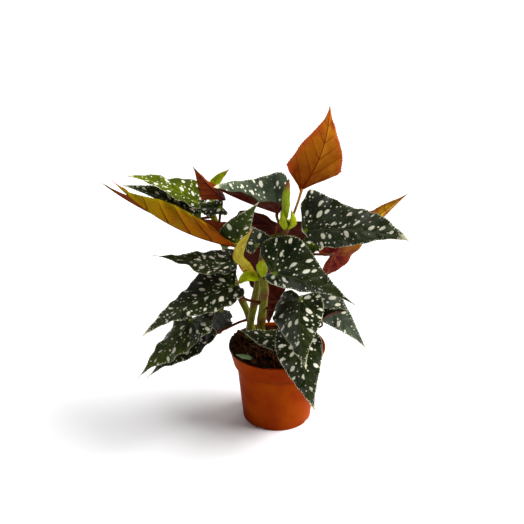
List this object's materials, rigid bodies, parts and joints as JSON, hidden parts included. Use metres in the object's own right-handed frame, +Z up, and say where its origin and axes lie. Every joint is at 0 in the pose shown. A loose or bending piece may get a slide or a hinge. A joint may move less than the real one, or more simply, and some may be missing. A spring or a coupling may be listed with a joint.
{
  "type": "potted begonia",
  "caption": "Leafy polka dot cane begonia with lopsided spotted wing-shaped leaves, red stalks and pale sheaths, growing in a round tapered nursery pot of peat soil.",
  "frame": {"origin": "centre of the pot's underside, on the floor plane", "axes": "+Z up along the pot's axis; -Y towards the plant's front, where the large hanging leaf crosses the rim; +X to its right"},
  "size_m": [0.365, 0.171, 0.4],
  "materials": {
    "pot_plastic": "satin terracotta-coloured moulded plastic",
    "peat": "moist rough peat",
    "cane": "smooth olive green stem with red-brown joints",
    "leaf_mature": "waxy near-black green with cream dots, dark red underneath",
    "leaf_young": "waxy bright olive green with cream dots",
    "leaf_orange": "translucent young leaf, orange with red-brown veins",
    "leaf_red": "satin maroon leaf underside",
    "stalk": "smooth red-brown fleshy stalk",
    "stalk_orange": "smooth orange translucent young stalk",
    "stipule": "thin lime green sheath",
    "stipule_dried": "papery straw-coloured sheath"
  },
  "bodies": {
    "root": {"pot": "pot_plastic", "soil": "peat", "cane_front": "cane", "cane_left": "cane", "cane_right": "cane", "blade_top_young": "leaf_orange", "blade_right_large": "leaf_mature", "blade_centre": "leaf_mature", "blade_hanging": "leaf_mature", "blade_over_rim": "leaf_mature", "blade_on_soil": "leaf_mature", "blade_left_mid": "leaf_mature", "blade_left_large": "leaf_mature", "blade_lower_left": "leaf_mature", "blade_lower_left_under": "leaf_mature", "blade_withered": "leaf_mature", "blade_orange_left": "leaf_orange", "blade_red_left": "leaf_red", "blade_dark_upper_left": "leaf_mature", "blade_young_green": "leaf_young", "blade_red_folded": "leaf_red", "blade_top_centre": "leaf_mature", "blade_maroon_back": "leaf_red", "blade_dark_back_left": "leaf_mature", "blade_small_green": "leaf_young", "blade_orange_right": "leaf_red", "blade_small_olive": "leaf_young", "blade_grey_right": "leaf_mature", "blade_curled_right": "leaf_mature", "blade_dark_behind": "leaf_mature", "stalk_top_young": "stalk_orange", "stalk_right_large": "stalk", "stalk_centre": "stalk", "stalk_hanging": "stalk", "stalk_over_rim": "stalk", "stalk_on_soil": "stalk", "stalk_left_mid": "stalk", "stalk_left_large": "stalk", "stalk_lower_left": "stalk", "stalk_lower_left_under": "stalk", "stalk_withered": "stalk", "stalk_orange_left": "stalk_orange", "stalk_red_left": "stalk", "stalk_dark_upper_left": "stalk", "stalk_young_green": "stalk_orange", "stalk_top_centre": "stalk", "stalk_maroon_back": "stalk", "stalk_dark_back_left": "stalk", "stalk_orange_right": "stalk", "stalk_small_olive": "stalk", "stalk_grey_right": "stalk", "stalk_curled_right": "stalk", "stipule_top_tall": "stipule", "stipule_top_left": "stipule", "stipule_top_right": "stipule", "stipule_front": "stipule", "stipule_front_left": "stipule", "stipule_twisted": "stipule_dried", "stipule_upper_left": "stipule", "stipule_fallen": "stipule"}
  },
  "joints": []
}
